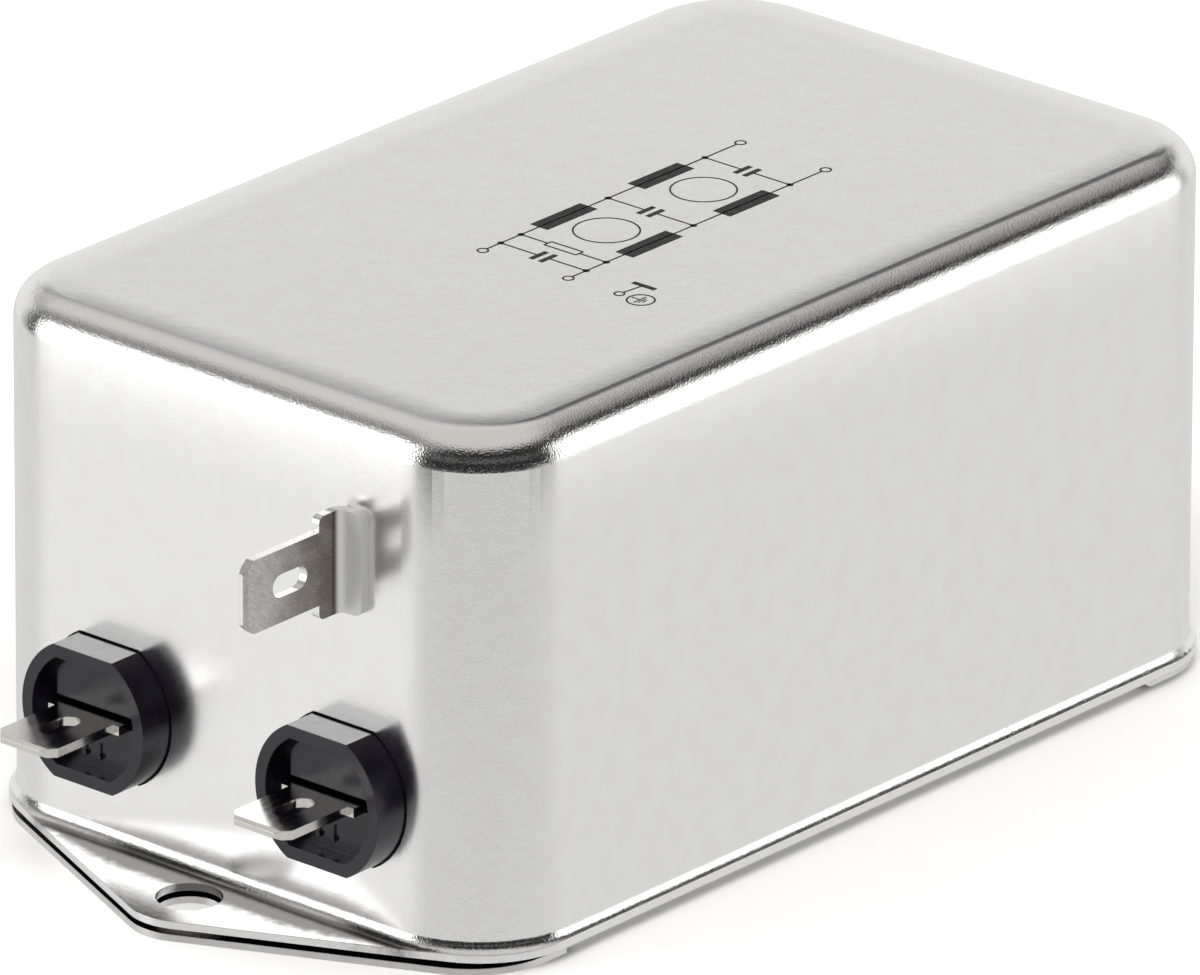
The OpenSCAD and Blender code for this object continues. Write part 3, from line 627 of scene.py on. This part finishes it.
# Studio walls, all angles in degrees, headings from 0 along +Y to 90 along +X. For each: its
# heading, half width and soft side, the height of its upper edge and how softly that ends, and
# its brightness.
LEFT_HEADING = -139.0
STUDIO_WALLS = (
    (-41.0, 45.0, 25.0, 23.5, 3.0, 0.84),  # pale wall at the back
    (LEFT_HEADING, 13.0, 8.0, 24.0, 12.0, 2.1),  # left softbox
    (44.0, 13.0, 8.0, 22.0, 8.0, 1.6),  # right softbox
)
DARKEST = 0.02
BEHIND_CAMERA = 0.14  # grey stretch of wall above the dark behind the camera
CEILING_EDGE = 25.0
CEILING_SIDE = 0.27  # brightness of the ceiling's rim at the sides, what the back adds, and
CEILING_BACK = 0.42  # the brightness right overhead
OVERHEAD = 0.63
FLOOR_LIGHT = 0.75  # brightness below the horizon, what the left softbox and the camera add
FLOOR_LEFT = 0.12
FLOOR_CAMERA = 0.10


def make_camera():
    """Long lens at the catalogue view's angle."""
    a, e = CAMERA_AZIMUTH, CAMERA_ELEVATION
    right = Vector((math.cos(a), math.sin(a), 0.0))
    back = Vector((math.sin(a) * math.cos(e), -math.cos(a) * math.cos(e), math.sin(e)))
    turn = Matrix.Rotation(CAMERA_ROLL, 3, back)
    right, up = turn @ right, turn @ back.cross(right)
    data = bpy.data.cameras.new("camera")
    data.lens = CAMERA_LENS
    data.sensor_width = 36.0
    data.clip_start, data.clip_end = 0.1, 20.0
    camera = bpy.data.objects.new("camera", data)
    bpy.context.scene.collection.objects.link(camera)
    place = Matrix.Translation(CAMERA_TARGET + CAMERA_DISTANCE * back)
    camera.matrix_world = place @ Matrix((right, up, back)).transposed().to_4x4()
    bpy.context.scene.camera = camera


def floor_material():
    """Pale floor; seen straight on it is lifted to white and keeps the shadow."""
    made = bpy.data.materials.new("floor")
    made.use_nodes = True
    tree = made.node_tree
    tree.nodes.clear()
    seen = node(tree, "LightPath").outputs["Is Camera Ray"]
    colour = blend_colour(tree, seen, (0.86, 0.86, 0.86), (1.5, 1.5, 1.5))
    shader = node(tree, "BsdfDiffuse", {"Color": colour})
    out = node(tree, "OutputMaterial")
    tree.links.new(shader.outputs[0], out.inputs["Surface"])
    return made


def make_floor():
    """Large round floor just under the base plate."""
    mesh = bmesh.new()
    bmesh.ops.create_circle(mesh, cap_ends=True, segments=96, radius=6.0)
    data = bpy.data.meshes.new("floor")
    mesh.to_mesh(data)
    mesh.free()
    data.materials.append(floor_material())
    floor = bpy.data.objects.new("floor", data)
    floor.location.z = CAD_BOX[0].z - 0.02 * MM
    bpy.context.scene.collection.objects.link(floor)
    floor.visible_glossy = False


def ceiling_light(tree, height, heading, towards):
    """Ceiling: pale over the back and greyer at the sides. Its edge is higher to the right of
    the back wall, over the right softbox and over the camera, which leaves a dark gap below."""
    edge = plus(tree, CEILING_EDGE, times(tree, ramp(tree, heading, -43.0, -38.0), 7.5))
    edge = plus(tree, edge, times(tree, ramp(tree, heading, 5.0, 30.0), 8.0))
    edge = plus(tree, edge, times(tree, towards, 2.0))
    over_back = window(tree, heading, -55.0, 28.0, 32.0)
    rim = plus(tree, times(tree, over_back, CEILING_BACK), CEILING_SIDE)
    rim = times(tree, rim, ramp(tree, height, edge, plus(tree, edge, 6.0)))
    rim = times(tree, rim, ramp(tree, height, 28.0, 48.0, 0.66, 1.0))
    overhead = ramp(tree, height, 44.0, 60.0)
    rim = times(tree, rim, minus(tree, 1.0, overhead))
    return plus(tree, rim, times(tree, overhead, OVERHEAD))


def wall_light(tree, height, heading, towards):
    """Walls: pale at the back, a softbox on the left and on the right, dark and grey behind the
    camera."""
    level = DARKEST
    for centre, half, soft, edge, fade, strength in STUDIO_WALLS:
        below = ramp(tree, height, edge, edge + fade, 1.0, 0.0)
        lit = times(tree, window(tree, heading, centre, half, soft), below)
        level = plus(tree, level, times(tree, lit, strength))
    stretch = times(tree, ramp(tree, height, 9.0, 13.0), ramp(tree, height, 18.0, 22.0, 1.0, 0.0))
    return plus(tree, level, times(tree, times(tree, towards, stretch), BEHIND_CAMERA))


def floor_light(tree, heading, towards):
    """What the metal sees below the horizon: pale floor, brighter before the left softbox and
    before the camera."""
    left = times(tree, window(tree, heading, LEFT_HEADING, 4.0, 24.0), FLOOR_LEFT)
    return plus(tree, plus(tree, FLOOR_LIGHT, left), times(tree, towards, FLOOR_CAMERA))


def below_horizon(tree, height, towards):
    """1 where the floor shows; it starts a little lower towards the camera."""
    near = times(tree, ramp(tree, height, -22.0, -15.0, 1.0, 0.0), towards)
    far = times(tree, ramp(tree, height, -17.0, -10.0, 1.0, 0.0), minus(tree, 1.0, towards))
    return plus(tree, near, far)


def make_world():
    """Studio round the object: walls, ceiling and floor that only the surfaces see. Straight
    views see plain white."""
    world = bpy.data.worlds.new("studio")
    bpy.context.scene.world = world
    world.use_nodes = True
    tree = world.node_tree
    tree.nodes.clear()
    direction = node(tree, "TexCoord").outputs["Generated"]
    x, y, z = node(tree, "SeparateXYZ", {0: direction}).outputs
    rise = calc(tree, "ARCSINE", z)
    height = calc(tree, "DEGREES", rise)
    heading = calc(tree, "DEGREES", calc(tree, "ARCTAN2", x, y))
    across = node(tree, "VectorMath", {0: direction, 1: CAMERA_HEADING},
                  operation="DOT_PRODUCT").outputs["Value"]
    level_part = calc(tree, "DIVIDE", across, calc(tree, "COSINE", rise))
    off_camera = calc(tree, "DEGREES", calc(tree, "ARCCOSINE", level_part))
    towards = ramp(tree, off_camera, 45.0, 70.0, 1.0, 0.0)

    above = plus(tree, ceiling_light(tree, height, heading, towards),
                 wall_light(tree, height, heading, towards))
    low = below_horizon(tree, height, towards)
    level = plus(tree, times(tree, above, minus(tree, 1.0, low)),
                 times(tree, floor_light(tree, heading, towards), low))
    tint = blend_colour(tree, ramp(tree, height, 32.0, 37.0), WHITE, (1.0, 0.965, 0.935))
    studio = node(tree, "Background", {"Color": tint, "Strength": level})
    plain = node(tree, "Background", {"Color": (*WHITE, 1.0), "Strength": 1.0})
    seen = node(tree, "LightPath").outputs["Is Camera Ray"]
    mixed = node(tree, "MixShader", {0: seen, 1: studio.outputs[0], 2: plain.outputs[0]})
    out = node(tree, "OutputWorld")
    tree.links.new(mixed.outputs[0], out.inputs["Surface"])


def make_lamp(name, place, aim, size, power):
    """Large soft lamp that lights the floor and the dull surfaces."""
    data = bpy.data.lights.new(name, "AREA")
    data.shape = "DISK"
    data.size = size
    data.energy = power
    lamp = bpy.data.objects.new(name, data)
    lamp.location = place
    lamp.rotation_mode = "QUATERNION"
    lamp.rotation_quaternion = (Vector(aim) - Vector(place)).to_track_quat("-Z", "Y")
    lamp.visible_glossy = False
    lamp.visible_camera = False
    bpy.context.scene.collection.objects.link(lamp)


dress_nodes()
print_diagram()
make_camera()
make_floor()
make_world()
make_lamp("key", (0.9, -1.0, 1.5), (0.0, 0.0, 0.0), 1.4, 20.0)
bpy.context.scene.view_settings.view_transform = "Standard"
